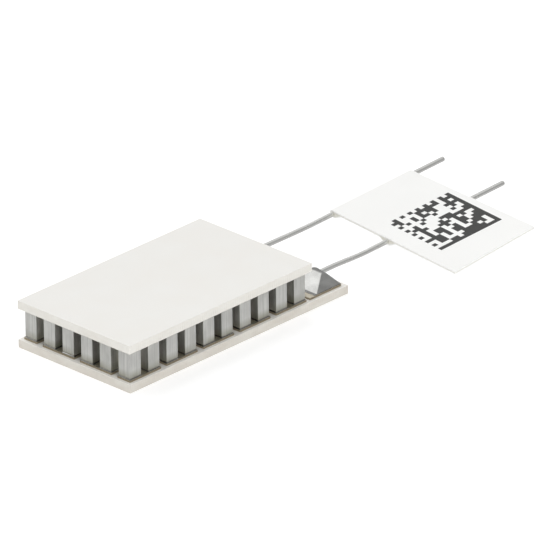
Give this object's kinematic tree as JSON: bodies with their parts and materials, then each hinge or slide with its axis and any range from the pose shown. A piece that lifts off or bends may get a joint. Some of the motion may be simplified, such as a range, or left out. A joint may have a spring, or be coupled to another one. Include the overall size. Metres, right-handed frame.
{
  "type": "thermoelectric cooler module",
  "caption": "Miniature thermoelectric cooler: two ceramic plates around a grid of square pellets, with a ledge, two bare lead wires and a folded label flag.",
  "frame": {"origin": "centre of the hot plate's bottom face", "axes": "+Z from the hot side up to the cold side, +X along the plates towards the leads, +Y across the plates"},
  "size_m": [0.0214, 0.0089, 0.002],
  "materials": {
    "alumina": "matt, as fired white alumina",
    "plated_copper": "dull tin plate over copper",
    "p_telluride": "sawn bismuth telluride, satin grey",
    "n_telluride": "sawn bismuth telluride, satin grey",
    "nickel": "plated nickel, satin",
    "solder": "reflowed tin solder, bright",
    "tinned_wire": "bright tinned copper wire",
    "label_film": "matt white label film with a printed code",
    "label_glue": "clear acrylic adhesive"
  },
  "bodies": {
    "root": {"cold_caps_row_1": "nickel", "cold_caps_row_2": "nickel", "cold_caps_row_3": "nickel", "cold_caps_row_4": "nickel", "cold_caps_row_5": "nickel", "cold_caps_row_6": "nickel", "cold_plate": "alumina", "cold_solder_row_1": "solder", "cold_solder_row_2": "solder", "cold_solder_row_3": "solder", "cold_solder_row_4": "solder", "cold_solder_row_5": "solder", "cold_solder_row_6": "solder", "cold_tabs_row_1": "plated_copper", "cold_tabs_row_2": "plated_copper", "cold_tabs_row_3": "plated_copper", "cold_tabs_row_4": "plated_copper", "cold_tabs_row_5": "plated_copper", "hot_caps_row_1": "nickel", "hot_caps_row_2": "nickel", "hot_caps_row_3": "nickel", "hot_caps_row_4": "nickel", "hot_caps_row_5": "nickel", "hot_caps_row_6": "nickel", "hot_plate": "alumina", "hot_solder_row_1": "solder", "hot_solder_row_2": "solder", "hot_solder_row_3": "solder", "hot_solder_row_4": "solder", "hot_solder_row_5": "solder", "hot_solder_row_6": "solder", "hot_tabs_row_1": "plated_copper", "hot_tabs_row_2": "plated_copper", "hot_tabs_row_3": "plated_copper", "hot_tabs_row_4": "plated_copper", "hot_tabs_row_6": "plated_copper", "label_film": "label_film", "label_glue": "label_glue", "lead_solder_far": "solder", "lead_solder_near": "solder", "lead_wire_far": "tinned_wire", "lead_wire_near": "tinned_wire", "n_pellets_row_1": "n_telluride", "n_pellets_row_2": "n_telluride", "n_pellets_row_3": "n_telluride", "n_pellets_row_4": "n_telluride", "n_pellets_row_5": "n_telluride", "n_pellets_row_6": "n_telluride", "p_pellets_row_1": "p_telluride", "p_pellets_row_2": "p_telluride", "p_pellets_row_3": "p_telluride", "p_pellets_row_4": "p_telluride", "p_pellets_row_5": "p_telluride", "p_pellets_row_6": "p_telluride", "terminal_pad_far": "plated_copper", "terminal_pad_near": "plated_copper"}
  },
  "joints": []
}
